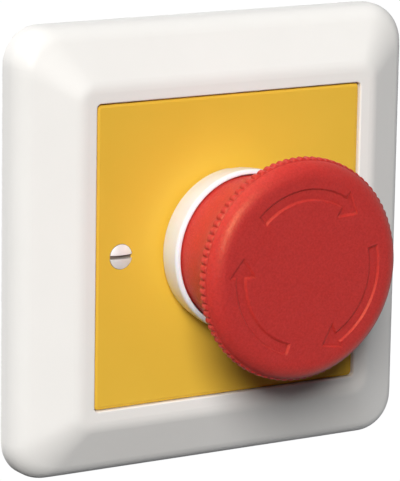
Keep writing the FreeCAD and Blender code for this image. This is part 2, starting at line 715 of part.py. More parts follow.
def plunger():
    """Turned plunger: head pin with its snap ring, shoulder, piston, and rod to the contacts."""
    piston_r = SLEEVE_BORE_R - RUN_CLEAR
    body = disc(PIN_RADIUS, SHOULDER_TOP, PIN_TOP)
    body = body.fuse(disc(PIN_RADIUS + SNAP_RISE, SNAP_Z, SNAP_Z + SNAP_TALL))
    body = body.fuse(disc(SHOULDER_R, PISTON_TOP, SHOULDER_TOP))
    body = body.fuse(disc(RIDGE_R, RIDGE_Z, RIDGE_Z + SNAP_TALL))
    body = body.fuse(disc(piston_r, PISTON_LOW, PISTON_TOP))
    body = body.fuse(disc(ROD_RADIUS, BAR_HIGH, PISTON_LOW))
    body = body.fuse(disc(ROD_TIP_R, ROD_LOW, BAR_HIGH))
    groove = tube(ROD_TIP_R + OVER, ROD_TIP_R - CLIP_GROOVE, BAR_LOW - CLIP_THICK, BAR_LOW)
    return body.cut(groove).removeSplitter()


def bar_half():
    """Half the thrust bar's width: past both pushers."""
    return BLOCK_X + PUSHER_RADIUS + BAR_PAST


def thrust_bar():
    """Cross bar on the rod that reaches both contact blocks."""
    body = rounded_block(bar_half(), BAR_TALL / 2, BAR_CORNER, BAR_LOW, BAR_HIGH)
    body = body.fuse(disc(BAR_BOSS_R, BAR_LOW, BAR_HIGH))
    return body.cut(disc(ROD_TIP_R + THREAD_CLEAR, BAR_LOW - OVER, BAR_HIGH + OVER))


def rod_clip():
    """Open clip snapped into the rod's groove behind the bar."""
    inner = ROD_TIP_R - CLIP_GROOVE + THREAD_CLEAR
    body = tube(CLIP_RADIUS, inner, BAR_LOW - CLIP_THICK, BAR_LOW)
    mouth = block(CLIP_MOUTH, 2 * CLIP_RADIUS, BAR_LOW - CLIP_THICK, BAR_LOW, 0.0, -CLIP_RADIUS)
    return body.cut(mouth)


def latch_wire():
    """Open wire ring resting in the sleeve's cup round the plunger's ridge."""
    half = LATCH_WIRE / 2
    low = FLANGE_HIGH
    mouth = LATCH_MOUTH_DEG / 2
    ring = tube(LATCH_COIL_R + half, LATCH_COIL_R - half, low, low + LATCH_WIRE)
    reach = LATCH_COIL_R * 2
    wedge = Part.Face(Part.makePolygon([
        FreeCAD.Vector(0, 0, low),
        polar(reach, 270 - mouth, low),
        polar(reach, 270 + mouth, low),
        FreeCAD.Vector(0, 0, low),
    ]))
    return ring.cut(wedge.extrude(FreeCAD.Vector(0, 0, LATCH_WIRE)))


def return_spring():
    """Spring between the sleeve's end wall and the piston."""
    return coil(RETURN_COIL_R, RETURN_WIRE, RETURN_TURNS, SLEEVE_LOW + SLEEVE_END_THICK, PISTON_LOW)


def twist_spring():
    """Spring round the head's boss that turns the head back."""
    return coil(TWIST_COIL_R, TWIST_WIRE, TWIST_TURNS, SHOULDER_TOP, TWIST_TOP)


def adaptor_half_tall():
    """Half the adaptor's height: the contact blocks and the arms outside them."""
    return BLOCK_TALL / 2 + ARM_THICK


def adaptor():
    """Body that grips the sleeve, guides the thrust bar and carries the contact blocks."""
    half_wide = BLOCK_X + BLOCK_WIDE / 2 + ADAPTOR_EDGE
    half_tall = adaptor_half_tall()
    body = rounded_block(half_wide, half_tall, ADAPTOR_CORNER, ADAPTOR_LOW, ADAPTOR_HIGH)
    grip_low = SLEEVE_LOW + GRIP_SHORT
    body = body.cut(disc(SLEEVE_RADIUS + THREAD_CLEAR, grip_low - OVER, ADAPTOR_HIGH + OVER))
    body = body.cut(block(2 * bar_half() + BAR_ROOM, BAR_TALL + BAR_ROOM, ADAPTOR_LOW - OVER, grip_low))
    body = body.cut(disc(BAR_BOSS_R + BAR_ROOM, ADAPTOR_LOW - OVER, grip_low))
    middle = FreeCAD.Vector(0, 0, SET_SCREW_Z)
    for end in SIDES:
        outwards = FreeCAD.Vector(0, end, 0)
        body = body.cut(Part.makeCylinder(SET_SCREW_R + THREAD_CLEAR, 2 * half_tall, middle, outwards))
        for side in SIDES:
            body = body.fuse(snap_arm(side, end))
    return body


def snap_arm(side, end):
    """Springy arm with a hook that holds one end of one contact block."""
    inside = BLOCK_TALL / 2
    low = ADAPTOR_LOW - ARM_LONG
    arm = block(ARM_WIDE, ARM_THICK, low, ADAPTOR_LOW, side * BLOCK_X, end * (inside + ARM_THICK / 2))
    hook_y = end * (inside + (ARM_THICK - HOOK_REACH) / 2)
    hook = block(ARM_WIDE, ARM_THICK + HOOK_REACH, low, low + HOOK_TALL, side * BLOCK_X, hook_y)
    return arm.fuse(hook)


def set_screws():
    """Two headless screws, one above and one below, that lock the adaptor to the sleeve."""
    screws = []
    length = adaptor_half_tall() - SLEEVE_RADIUS - SET_SCREW_SINK
    for end in SIDES:
        start = FreeCAD.Vector(0, end * SLEEVE_RADIUS, SET_SCREW_Z)
        outwards = FreeCAD.Vector(0, end, 0)
        screws.append(Part.makeCylinder(SET_SCREW_R, length, start, outwards))
    return Part.makeCompound(screws)


def contact_housing(side):
    """Insulating case: contact chamber in the middle, a terminal chamber at each end."""
    x = side * BLOCK_X
    half = BLOCK_TALL / 2
    body = rounded_block(BLOCK_WIDE / 2, half, BLOCK_WALL, BLOCK_LOW, ADAPTOR_LOW)
    inner_wide = BLOCK_WIDE - 2 * BLOCK_WALL
    back = BLOCK_LOW + BLOCK_WALL
    body = body.cut(block(inner_wide, 2 * CHAMBER_HALF, back, ADAPTOR_LOW - BLOCK_WALL))
    body = body.cut(disc(PUSHER_RADIUS + 2 * RUN_CLEAR, ADAPTOR_LOW - 2 * BLOCK_WALL, ADAPTOR_LOW + OVER))
    strip_top = STRIP_Z + STRIP_THICK / 2
    for end in SIDES:
        low_y = CHAMBER_HALF + PARTITION
        high_y = half - BLOCK_WALL
        mid_y = end * (low_y + high_y) / 2
        body = body.cut(block(inner_wide, high_y - low_y, back, strip_top, 0.0, mid_y))
        slot_y = end * (CHAMBER_HALF + PARTITION / 2)
        slot_low = strip_top - STRIP_THICK - SMALL_GAP
        slot_wide = STRIP_WIDE + 2 * SMALL_GAP
        body = body.cut(block(slot_wide, 2 * PARTITION, slot_low, strip_top, 0.0, slot_y))
        terminal_y = end * TERMINAL_Y
        head_r = TERMINAL_HEAD_R + SMALL_GAP
        body = body.cut(disc(head_r, BLOCK_LOW - OVER, back + OVER, 0.0, terminal_y))
        shank_r = TERMINAL_SCREW_R + SMALL_GAP
        body = body.cut(disc(shank_r, strip_top - OVER, strip_top + 2 * OVER, 0.0, terminal_y))
        entry_low = strip_top - STRIP_THICK - WIRE_ROOM - 2 * TERMINAL_HEAD_TALL
        entry = block(STRIP_WIDE, 4 * BLOCK_WALL, entry_low, strip_top - STRIP_THICK, 0.0, end * half)
        body = body.cut(entry)
        hook_low = ADAPTOR_LOW - ARM_LONG
        hook_high = hook_low + HOOK_TALL
        notch_wide = ARM_WIDE + 2 * SMALL_GAP
        body = body.cut(block(notch_wide, 2 * HOOK_REACH, hook_low, hook_high, 0.0, end * half))
    body.translate(FreeCAD.Vector(x, 0, 0))
    return body


def fixed_contacts(side):
    """Two copper strips, each from a terminal to a silver tip beside the carriage."""
    solids = []
    far = BLOCK_TALL / 2 - BLOCK_WALL
    near = TIP_Y - TIP_RADIUS - TIP_EDGE
    low = STRIP_Z - STRIP_THICK / 2
    hole_r = TERMINAL_SCREW_R + THREAD_CLEAR
    for end in SIDES:
        strip = block(STRIP_WIDE, far - near, low, low + STRIP_THICK, 0.0, end * (far + near) / 2)
        strip = strip.cut(disc(hole_r, low - OVER, low + 2 * OVER, 0.0, end * TERMINAL_Y))
        strip = strip.fuse(disc(TIP_RADIUS, low - TIP_TALL, low, 0.0, end * TIP_Y))
        solids.append(strip)
    group = Part.makeCompound(solids)
    group.translate(FreeCAD.Vector(side * BLOCK_X, 0, 0))
    return group


def terminal_screws(side):
    """Two terminal screws, reached from the back."""
    solids = []
    head_high = STRIP_Z - STRIP_THICK / 2 - WIRE_ROOM - CLAMP_THICK
    head_low = head_high - TERMINAL_HEAD_TALL
    for end in SIDES:
        y = end * TERMINAL_Y
        screw = disc(TERMINAL_SCREW_R, head_high, STRIP_Z + STRIP_THICK, 0.0, y)
        head = disc(TERMINAL_HEAD_R, head_low, head_high, 0.0, y)
        slot = block(3 * TERMINAL_HEAD_R, SCREW_SLOT, head_low - OVER, head_low + SCREW_SLOT, 0.0, y)
        solids.append(screw.fuse(head).cut(slot))
    group = Part.makeCompound(solids)
    group.translate(FreeCAD.Vector(side * BLOCK_X, 0, 0))
    return group


def terminal_clamps(side):
    """Two square clamp washers under the terminal screws' heads."""
    solids = []
    high = STRIP_Z - STRIP_THICK / 2 - WIRE_ROOM
    hole_r = TERMINAL_SCREW_R + THREAD_CLEAR
    for end in SIDES:
        y = end * TERMINAL_Y
        washer = block(STRIP_WIDE, STRIP_WIDE, high - CLAMP_THICK, high, 0.0, y)
        solids.append(washer.cut(disc(hole_r, high - 2 * OVER, high + OVER, 0.0, y)))
    group = Part.makeCompound(solids)
    group.translate(FreeCAD.Vector(side * BLOCK_X, 0, 0))
    return group


def contact_carriage(side):
    """Sliding carriage: pusher in front, slot for the bridge, pin for the spring behind."""
    body = disc(PUSHER_RADIUS, CARRIAGE_HIGH, BAR_LOW - SMALL_GAP)
    body = body.fuse(block(CARRIAGE_WIDE, CARRIAGE_TALL, CARRIAGE_LOW, CARRIAGE_HIGH))
    body = body.fuse(disc(SPRING_PIN_R, CARRIAGE_LOW - SPRING_PIN_LONG, CARRIAGE_LOW))
    slot_wide = BRIDGE_WIDE + 2 * SMALL_GAP
    slot_high = BRIDGE_HIGH + SMALL_GAP
    body = body.cut(block(slot_wide, 2 * CARRIAGE_TALL, BRIDGE_HIGH - BRIDGE_THICK, slot_high))
    body.translate(FreeCAD.Vector(side * BLOCK_X, 0, 0))
    return body


def contact_bridge(side):
    """Copper bridge with a silver tip at each end."""
    body = block(BRIDGE_WIDE, 2 * BRIDGE_HALF, BRIDGE_HIGH - BRIDGE_THICK, BRIDGE_HIGH)
    for end in SIDES:
        body = body.fuse(disc(TIP_RADIUS, BRIDGE_HIGH, BRIDGE_HIGH + TIP_TALL, 0.0, end * TIP_Y))
    body.translate(FreeCAD.Vector(side * BLOCK_X, 0, 0))
    return body


def contact_spring(side):
    """Spring that closes the bridge onto the fixed contacts."""
    low = BLOCK_LOW + BLOCK_WALL
    return coil(CONTACT_COIL_R, CONTACT_WIRE, CONTACT_TURNS, low, CARRIAGE_LOW, side * BLOCK_X)


def stand_up(shape):
    """Turn the part from lying on its back to standing on the wall."""
    shape.rotate(ORIGIN, FreeCAD.Vector(1, 0, 0), 90)
    return shape


nodes = {
    "cover_frame": cover_frame(),
    "centre_plate": centre_plate(),
    "support_ring": support_ring(),
    "collar": collar(),
    "collar_gasket": gasket(),
    "mounting_sleeve": sleeve(),
    "ring_nut": ring_nut(),
    "mushroom_head": mushroom_head(),
    "plunger": plunger(),
    "thrust_bar": thrust_bar(),
    "rod_clip": rod_clip(),
    "latch_wire": latch_wire(),
    "return_spring": return_spring(),
    "twist_spring": twist_spring(),
    "contact_adaptor": adaptor(),
    "adaptor_set_screws": set_screws(),
}
for word, hand in (("left", -1), ("right", 1)):
    nodes["plate_screw_" + word] = plate_screw(hand)
    nodes["contact_housing_" + word] = contact_housing(hand)
    nodes["fixed_contacts_" + word] = fixed_contacts(hand)
    nodes["terminal_screws_" + word] = terminal_screws(hand)
    nodes["terminal_clamps_" + word] = terminal_clamps(hand)
    nodes["contact_carriage_" + word] = contact_carriage(hand)
    nodes["contact_bridge_" + word] = contact_bridge(hand)
    nodes["contact_spring_" + word] = contact_spring(hand)

os.makedirs("parts", exist_ok=True)
for name, shape in nodes.items():
    stand_up(shape).exportStep("parts/" + name + ".step")
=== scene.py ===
import math

import bmesh
import bpy
import numpy as np
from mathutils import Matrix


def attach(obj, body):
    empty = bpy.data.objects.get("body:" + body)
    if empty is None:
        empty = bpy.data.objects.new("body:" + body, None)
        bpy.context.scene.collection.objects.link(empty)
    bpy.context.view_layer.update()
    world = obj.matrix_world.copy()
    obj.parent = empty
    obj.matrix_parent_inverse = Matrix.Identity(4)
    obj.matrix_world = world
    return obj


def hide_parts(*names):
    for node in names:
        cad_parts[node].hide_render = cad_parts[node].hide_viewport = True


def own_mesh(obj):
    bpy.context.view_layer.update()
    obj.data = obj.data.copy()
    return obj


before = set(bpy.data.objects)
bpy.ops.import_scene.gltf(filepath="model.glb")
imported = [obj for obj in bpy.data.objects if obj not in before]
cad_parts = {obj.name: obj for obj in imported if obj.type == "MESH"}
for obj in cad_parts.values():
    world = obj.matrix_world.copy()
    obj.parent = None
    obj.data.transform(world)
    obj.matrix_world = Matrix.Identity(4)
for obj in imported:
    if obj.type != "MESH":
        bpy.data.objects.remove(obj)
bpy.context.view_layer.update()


# The camera stands to the left of the switch, a little above it, and is far enough away that the
# square frame hardly narrows. Its place was fitted to the edges of the frame, plate and head.
def seen_at(azimuth, height):
    """The way towards a place, from degrees round from the front and degrees up: sine of azimuth
    times cosine of height along X, minus cosine times cosine along Y, sine of height along Z."""
    turn, rise = math.radians(azimuth), math.radians(height)
    to_the_right = math.sin(turn) * math.cos(rise)
    into_the_wall = -math.cos(turn) * math.cos(rise)
    return np.array([to_the_right, into_the_wall, math.sin(rise)])


def put(thing, spot, back, roll=0.0):
    """Add a camera or a light at spot, looking away from back. Its X is level, at right angles to
    back and the vertical, and then X and Y turn together by roll degrees round back."""
    level = np.cross([0.0, 0.0, 1.0], back)
    level /= np.linalg.norm(level)
    upright = np.cross(back, level)
    turn = math.radians(roll)
    placed = np.eye(4)
    placed[:3, 0] = math.cos(turn) * level + math.sin(turn) * upright
    placed[:3, 1] = math.cos(turn) * upright - math.sin(turn) * level
    placed[:3, 2] = back
    placed[:3, 3] = spot
    bpy.context.scene.collection.objects.link(thing)
    thing.matrix_world = placed.T.tolist()


camera_azimuth = -31.757
camera_height = 12.072
camera_roll = 0.942
camera_distance = 0.60202
camera_aim = np.array([0.000208, 0.0, -0.001196])
sensor_tall = 36.0
focal_pixels = 3315.06
picture_tall = 481

camera = bpy.data.objects.new("camera", bpy.data.cameras.new("camera"))
camera.data.sensor_fit = "VERTICAL"
camera.data.sensor_height = sensor_tall
camera.data.lens = focal_pixels / picture_tall * sensor_tall
towards_camera = seen_at(camera_azimuth, camera_height)
put(camera, camera_aim + camera_distance * towards_camera, towards_camera, camera_roll)
bpy.context.scene.camera = camera


# The studio: a soft key light from the front left, weaker ones high at the left and behind, and a
# dim surround that glows from large boards at the sides. Nothing shines from the lower front, so
# the head throws a deep soft shadow to the lower right.
def linear(hex_colour):
    """An sRGB hex colour as linear values: c / 12.92 up to 0.04045, and above it
    (c + 0.055) / 1.055 to the power 2.4."""
    channels = np.array([int(hex_colour[i:i + 2], 16) for i in (0, 2, 4)]) / 255
    values = np.where(channels <= 0.04045, channels / 12.92, ((channels + 0.055) / 1.055) ** 2.4)
    return (*values.tolist(), 1.0)


def node(tree, kind, settings, sockets):
    """Add one node with its settings, and give its sockets values or links from other sockets."""
    made = tree.nodes.new("ShaderNode" + kind)
    for name, value in settings.items():
        setattr(made, name, value)
    for name, value in sockets.items():
        if isinstance(value, bpy.types.NodeSocket):
            tree.links.new(value, made.inputs[name])
        else:
            made.inputs[name].default_value = value
    return made


def sun(name, azimuth, height, strength, colour, width):
    """A distant light of this width in degrees. Its energy is pi times its strength, so at
    strength 1 a white surface that faces it reads 1."""
    light = bpy.data.objects.new(name, bpy.data.lights.new(name, "SUN"))
    light.data.energy = math.pi * strength
    light.data.color = linear(colour)[:3]
    light.data.angle = math.radians(width)
    ahead = seen_at(azimuth, height)
    put(light, ahead, ahead)


board_tightness = 8.0


def glow(tree, way, azimuth, height, strength, colour):
    """Light from a large board, which fades round the board's middle: strength times the
    exponential of board_tightness times (cosine of the angle from the middle - 1)."""
    middle = tuple(seen_at(azimuth, height).tolist())
    cosine = node(tree, "VectorMath", {"operation": "DOT_PRODUCT"}, {
        0: way, 1: middle}).outputs["Value"]
    fall = node(tree, "Math", {"operation": "MULTIPLY_ADD"}, {
        0: cosine, 1: board_tightness, 2: -board_tightness})
    share = node(tree, "Math", {"operation": "EXPONENT"}, {0: fall.outputs[0]}).outputs[0]
    tint = tuple(strength * channel for channel in linear(colour)[:3])
    return node(tree, "VectorMath", {"operation": "SCALE"}, {
        0: tint, "Scale": share}).outputs["Vector"]


bpy.context.scene.view_settings.view_transform = "Standard"
sun("key_light", azimuth=-34.0, height=28.0, strength=1.10, colour="FFFDFA", width=20.0)
sun("high_back_light", azimuth=-118.0, height=64.0, strength=0.31, colour="FFFFFF", width=55.0)
sun("rear_light", azimuth=180.0, height=8.0, strength=0.22, colour="FFFFFF", width=70.0)

surround = bpy.data.worlds.new("surround")
surround.use_nodes = True
bpy.context.scene.world = surround
tree = surround.node_tree
way = node(tree, "TexCoord", {}, {}).outputs["Generated"]
cool_white = "F8FBFF"
plain_white = "FFFFFF"
boards = [
    glow(tree, way, azimuth=90.0, height=-44.0, strength=0.77, colour=cool_white),
    glow(tree, way, azimuth=90.0, height=-10.0, strength=0.42, colour=cool_white),
    glow(tree, way, azimuth=130.0, height=25.0, strength=0.43, colour=cool_white),
    glow(tree, way, azimuth=-120.0, height=25.0, strength=0.46, colour=plain_white),
    glow(tree, way, azimuth=-160.0, height=-10.0, strength=0.78, colour=plain_white),
]
all_round = boards[0]
for board in boards[1:]:
    all_round = node(tree, "VectorMath", {"operation": "ADD"}, {
        0: all_round, 1: board}).outputs["Vector"]
tree.links.new(all_round, tree.nodes["Background"].inputs["Color"])


# A tent of white paper, lit from behind, stands all round the switch as its background. Only the
# camera sees it: it lights nothing, mirrors in nothing and takes no shadow. Its glow is a little
# over white, so that it never reads grey.
tent_half = 3.0
paper_glow = 1.02
tent_corners = [(x, y, z) for x in (-tent_half, tent_half)
                for y in (-tent_half, tent_half) for z in (-tent_half, tent_half)]
tent_walls = [(0, 1, 3, 2), (4, 6, 7, 5), (0, 4, 5, 1), (2, 3, 7, 6), (0, 2, 6, 4), (1, 5, 7, 3)]
tent_mesh = bpy.data.meshes.new("paper_tent")
tent_mesh.from_pydata(tent_corners, [], tent_walls)
tent = bpy.data.objects.new("paper_tent", tent_mesh)
bpy.context.scene.collection.objects.link(tent)
tent.visible_diffuse = False
tent.visible_glossy = False
tent.visible_transmission = False
tent.visible_shadow = False
paper = bpy.data.materials.new("white_paper_lit_from_behind")
paper.use_nodes = True
shader = paper.node_tree.nodes["Principled BSDF"]
shader.inputs["Base Color"].default_value = linear("000000")
shader.inputs["Specular IOR Level"].default_value = 0.0
shader.inputs["Emission Color"].default_value = linear(plain_white)
shader.inputs["Emission Strength"].default_value = paper_glow
tent_mesh.materials.append(paper)


# The cover frame is one injection moulding in white ABS, from a polished mould. It lies on the
# wall, and its ledge is pressed down by the plate. The polish leaves a soft gloss, and shrinkage
# faint swells about 4 mm wide, which break up the reflections on its slopes.
def finish(name):
    """A new material with its node tree and shader, and the object's own coordinates in metres."""
    material = bpy.data.materials.new(name)
    material.use_nodes = True
    tree = material.node_tree
    place = node(tree, "TexCoord", {}, {}).outputs["Object"]
    return material, tree, tree.nodes["Principled BSDF"], place


def drift(tree, place, low, high, size, detail=2.0):
    """A value that drifts in cloudy spots about size metres across. The noise stays mostly
    between 0.3 and 0.7, and that range is carried to low and high."""
    cloud = node(tree, "TexNoise", {}, {"Vector": place, "Scale": 1 / size, "Detail": detail})
    carried = node(tree, "MapRange", {}, {
        "Value": cloud.outputs["Fac"], "From Min": 0.3, "From Max": 0.7,
        "To Min": low, "To Max": high})
    return carried.outputs["Result"]


def colour_drift(tree, shader, place, one, other, size, detail=2.0):
    """Base colour that drifts between two close shades in spots about size metres across."""
    share = drift(tree, place, 0.0, 1.0, size, detail)
    shade = node(tree, "Mix", {"data_type": "RGBA"}, {
        "Factor": share, 6: linear(one), 7: linear(other)})
    tree.links.new(shade.outputs[2], shader.inputs["Base Color"])


def gloss_drift(tree, shader, place, low, high, size):
    """Roughness that drifts from low to high in spots about size metres across."""
    tree.links.new(drift(tree, place, low, high, size), shader.inputs["Roughness"])


def relief(tree, shader, place, deep, edge, size, detail=2.0):
    """Cloudy bumps about size metres across and up to deep metres high, on a surface whose
    edges shade as if rounded by edge metres."""
    cloud = node(tree, "TexNoise", {}, {"Vector": place, "Scale": 1 / size, "Detail": detail})
    rounded = node(tree, "Bevel", {"samples": 8}, {"Radius": edge}).outputs["Normal"]
    bumpy = node(tree, "Bump", {}, {
        "Height": cloud.outputs["Fac"], "Distance": deep, "Normal": rounded})
    tree.links.new(bumpy.outputs["Normal"], shader.inputs["Normal"])


def dress(material, *names):
    """Give CAD nodes this material."""
    for name in names:
        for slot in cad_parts[name].material_slots:
            slot.material = material


abs_ior = 1.53
frame_plastic, tree, shader, place = finish("white_abs_polished_moulding")
colour_drift(tree, shader, place, "F1F0EE", "EFEEEC", size=0.012)
gloss_drift(tree, shader, place, low=0.34, high=0.37, size=0.004)
shader.inputs["IOR"].default_value = abs_ior
shader.inputs["Specular IOR Level"].default_value = 0.25
relief(tree, shader, place, deep=0.000002, edge=0.0001, size=0.004, detail=0.0)
dress(frame_plastic, "cover_frame")


# The centre plate is moulded in yellow ABS with a satin face, and fills the frame's opening. It
# carries the whole switch. The satin is an etched grain about 0.1 mm wide, drawn 0.4 mm wide so
# that it shows. It spreads the reflections thin, so the yellow stays deep and even.
plate_plastic, tree, shader, place = finish("yellow_abs_satin_moulding")
colour_drift(tree, shader, place, "EBBE44", "E8BB41", size=0.015)
gloss_drift(tree, shader, place, low=0.4, high=0.46, size=0.003)
shader.inputs["IOR"].default_value = abs_ior
shader.inputs["Specular IOR Level"].default_value = 0.14
relief(tree, shader, place, deep=0.000004, edge=0.0001, size=0.0004)
dress(plate_plastic, "centre_plate")


# Two raised countersunk screws hold the plate. They are steel, turned and plated with satin
# nickel, so the domed heads shine softly, with faint rings left by the turning. Painted shade in
# the slot and round the rim draws both as fine dark lines.
screw_from_middle = 0.02225
ring_spacing = 0.0002  # turning leaves rings about half as far apart, too fine to show
rings_at_scale_1 = math.pi / 10  # the wave texture's rings are this far apart at scale 1
slot_half = 0.00035
rim_radius = 0.00221
slot_fade = 0.00002
rim_fade = 0.00004
polish_spot = 0.001
screw_nickel, tree, shader, place = finish("satin_nickel_plated_steel")
mirrored = node(tree, "VectorMath", {"operation": "ABSOLUTE"}, {0: place}).outputs["Vector"]
from_screw = node(tree, "VectorMath", {"operation": "SUBTRACT"}, {
    0: mirrored, 1: (screw_from_middle, 0.0, 0.0)}).outputs["Vector"]
from_axis = node(tree, "VectorMath", {"operation": "MULTIPLY"}, {
    0: from_screw, 1: (1.0, 0.0, 1.0)}).outputs["Vector"]
cloud = node(tree, "TexNoise", {}, {"Vector": place, "Scale": 1 / polish_spot}).outputs["Fac"]
polished = node(tree, "Mix", {"data_type": "RGBA"}, {
    "Factor": cloud, 6: linear("FFFFFF"), 7: linear("F7F6F3")}).outputs[2]
in_slot = node(tree, "MapRange", {}, {
    "Value": node(tree, "SeparateXYZ", {}, {0: mirrored}).outputs["Z"],
    "From Min": slot_half - slot_fade, "From Max": slot_half + slot_fade,
    "To Min": 1.0, "To Max": 0.0}).outputs["Result"]
at_rim = node(tree, "MapRange", {}, {
    "Value": node(tree, "VectorMath", {"operation": "LENGTH"}, {0: from_axis}).outputs["Value"],
    "From Min": rim_radius - rim_fade, "From Max": rim_radius + rim_fade}).outputs["Result"]
# Painted shade: the slot and a thin ring round the rim are painted dark grey for the shade there.
painted_shade_share = node(tree, "Math", {"operation": "MAXIMUM"}, {0: in_slot, 1: at_rim}).outputs[0]
shade = node(tree, "Mix", {"data_type": "RGBA"}, {
    "Factor": painted_shade_share, 6: polished, 7: linear("7E7B74")})
tree.links.new(shade.outputs[2], shader.inputs["Base Color"])

# Satin plating this matt scatters most of its light, so it is shaded as only a quarter metal.
shader.inputs["Metallic"].default_value = 0.25
gloss_drift(tree, shader, place, low=0.36, high=0.44, size=0.0006)
rings = node(tree, "TexWave", {"wave_type": "RINGS", "rings_direction": "SPHERICAL"}, {
    "Vector": from_axis, "Scale": rings_at_scale_1 / ring_spacing,
    "Distortion": 1.0}).outputs["Fac"]
rounded = node(tree, "Bevel", {"samples": 8}, {"Radius": 0.0001}).outputs["Normal"]
turned = node(tree, "Bump", {}, {"Height": rings, "Distance": 0.0000015, "Normal": rounded})
tree.links.new(turned.outputs["Normal"], shader.inputs["Normal"])
dress(screw_nickel, "plate_screw_left", "plate_screw_right")


# The mushroom head and its neck are one moulding in red glass-filled nylon, with teeth round the
# rim for a grip and three sunken arrows that show which way to turn it. The mould is
# spark-eroded, which gives the matt, fine-grained skin.
head_plastic, tree, shader, place = finish("red_nylon_spark_eroded_moulding")

# The real grain is about 0.1 mm wide. It is drawn three to four times as wide, because a finer
# one doesn't show, and askew, so that its grid never lines up with the teeth.
askew = node(tree, "Mapping", {}, {"Vector": place, "Rotation": (0.5, 0.9, 0.3)}).outputs["Vector"]
fleck = drift(tree, askew, low=0.0, high=1.0, size=0.0004, detail=3.0)

# Painted light: the neck and rim are painted a lighter, more orange red for their sheen and the
# yellow they catch, and the face a deeper red for its shade, by the way each surface faces.
side_red_painted_sheen = node(tree, "Mix", {"data_type": "RGBA"}, {
    "Factor": fleck, 6: linear("DA433C"), 7: linear("C93A34")}).outputs[2]
face_red_painted_shade = node(tree, "Mix", {"data_type": "RGBA"}, {
    "Factor": fleck, 6: linear("C83C3A"), 7: linear("B83332")}).outputs[2]
looks_sideways = -0.4
looks_ahead = -1.0
normal = node(tree, "TexCoord", {}, {}).outputs["Normal"]
on_face = node(tree, "MapRange", {}, {
    "Value": node(tree, "SeparateXYZ", {}, {0: normal}).outputs["Y"],
    "From Min": looks_sideways, "From Max": looks_ahead}).outputs["Result"]
red_painted_by_facing = node(tree, "Mix", {"data_type": "RGBA"}, {
    "Factor": on_face, 6: side_red_painted_sheen, 7: face_red_painted_shade}).outputs[2]

# Painted shade darkens the inner corners between the teeth and along the arrows, by ambient
# occlusion.
corner_reach = 0.0009
openness_for_painted_shade = node(tree, "AmbientOcclusion", {"samples": 8, "only_local": True}, {
    "Distance": corner_reach}).outputs["AO"]
red_with_painted_corner_shade = node(tree, "Mix", {"data_type": "RGBA"}, {
    "Factor": openness_for_painted_shade, 6: linear("9A2A26"), 7: red_painted_by_facing}).outputs[2]
tree.links.new(red_with_painted_corner_shade, shader.inputs["Base Color"])

gloss_drift(tree, shader, askew, low=0.38, high=0.46, size=0.0008)
shader.inputs["IOR"].default_value = 1.5
shader.inputs["Specular IOR Level"].default_value = 0.46
shader.inputs["Specular Tint"].default_value = linear("FFC08C")
shader.inputs["Subsurface Weight"].default_value = 0.3
shader.inputs["Subsurface Radius"].default_value = (1.0, 0.25, 0.15)
shader.inputs["Subsurface Scale"].default_value = 0.0012

# The arrows' edges are a little softer than the teeth, which start beyond arrow_reach.
arrow_edge = 0.0003
tooth_edge = 0.0002
arrow_reach = 0.0155
tooth_start = 0.0165
from_axis = node(tree, "VectorMath", {"operation": "MULTIPLY"}, {
    0: place, 1: (1.0, 0.0, 1.0)}).outputs["Vector"]
edge = node(tree, "MapRange", {}, {
    "Value": node(tree, "VectorMath", {"operation": "LENGTH"}, {0: from_axis}).outputs["Value"],
    "From Min": arrow_reach, "From Max": tooth_start,
    "To Min": arrow_edge, "To Max": tooth_edge}).outputs["Result"]
relief(tree, shader, askew, deep=0.00006, edge=edge, size=0.00034, detail=1.0)
dress(head_plastic, "mushroom_head")


# The collar is a white polycarbonate ring that stands on the plate round the head's neck and
# carries the index notch. Its mould is polished, so it is glossy, with swells 1.5 mm wide. A
# little light goes through it, and its wall picks up the yellow of the plate.
collar_plastic, tree, shader, place = finish("white_polycarbonate_glossy_moulding")
colour_drift(tree, shader, place, "F3F6FC", "F0F3FA", size=0.006)
gloss_drift(tree, shader, place, low=0.18, high=0.24, size=0.002)
shader.inputs["IOR"].default_value = 1.58
shader.inputs["Subsurface Weight"].default_value = 0.15
shader.inputs["Subsurface Scale"].default_value = 0.0012
relief(tree, shader, place, deep=0.000003, edge=0.0004, size=0.0015, detail=1.0)
dress(collar_plastic, "collar")


# Under the collar lies a flat ring of black nitrile rubber, cut from sheet, that keeps water out.
# It is dull, with a mealy surface of 0.3 mm specks and no clear reflection.
rubber, tree, shader, place = finish("black_nitrile_rubber_sheet")
colour_drift(tree, shader, place, "1F1F20", "232324", size=0.0015)
gloss_drift(tree, shader, place, low=0.6, high=0.78, size=0.0008)
relief(tree, shader, place, deep=0.00001, edge=0.00005, size=0.0003)
dress(rubber, "collar_gasket")


# The support ring is pressed from steel sheet and screwed to the wall box, and the plate's screws
# go into it. It is coated with zinc, as are the small screws and clamp washers at the back. The
# zinc sets in patches about 3.5 mm wide, each a different grey.
zinc_patch = 0.0035
zinc, tree, shader, place = finish("zinc_plated_pressed_steel")
patch = node(tree, "TexVoronoi", {}, {"Vector": place, "Scale": 1 / zinc_patch}).outputs["Color"]
patch_shade = node(tree, "Mix", {"data_type": "RGBA"}, {
    "Factor": node(tree, "SeparateColor", {}, {"Color": patch}).outputs["Red"],
    6: linear("B4B6B5"), 7: linear("CACBC8")}).outputs[2]
tree.links.new(patch_shade, shader.inputs["Base Color"])
shader.inputs["Metallic"].default_value = 1.0
gloss_drift(tree, shader, place, low=0.3, high=0.46, size=0.0009)
relief(tree, shader, place, deep=0.000006, edge=0.00015, size=0.0005, detail=4.0)
dress(zinc, "support_ring", "adaptor_set_screws", "terminal_screws_left", "terminal_screws_right",
      "terminal_clamps_left", "terminal_clamps_right")


